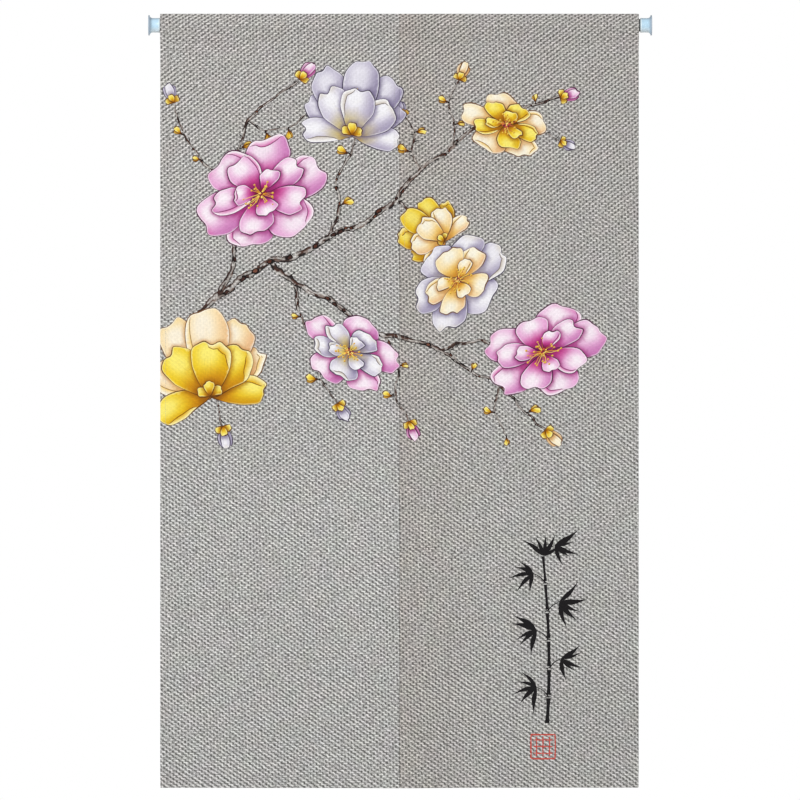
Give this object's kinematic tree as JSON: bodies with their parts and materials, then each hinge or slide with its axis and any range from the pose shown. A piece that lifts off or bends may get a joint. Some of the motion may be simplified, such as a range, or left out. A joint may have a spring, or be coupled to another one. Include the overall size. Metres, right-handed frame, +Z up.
{
  "type": "fabric door curtain on a tension rod",
  "caption": "Split canvas door curtain: two panels sewn together at the top, open below, hung by a rod pocket on a plain tension rod with a round foot at each end.",
  "frame": {"origin": "centre of the left foot's pressing face, on the rod's axis", "axes": "+X along the rod to the right foot, +Z up, the curtain's front faces -Y"},
  "size_m": [0.842, 0.0372, 1.295],
  "materials": {
    "canvas": "coarse plain weave, printed on the front",
    "grey_steel": "dark grey satin",
    "pale_blue_plastic": "glossy, slightly milky"
  },
  "bodies": {
    "root": {"left_panel": "canvas", "right_panel": "canvas", "rod": "grey_steel", "left_foot": "pale_blue_plastic", "right_foot": "pale_blue_plastic"}
  },
  "joints": []
}
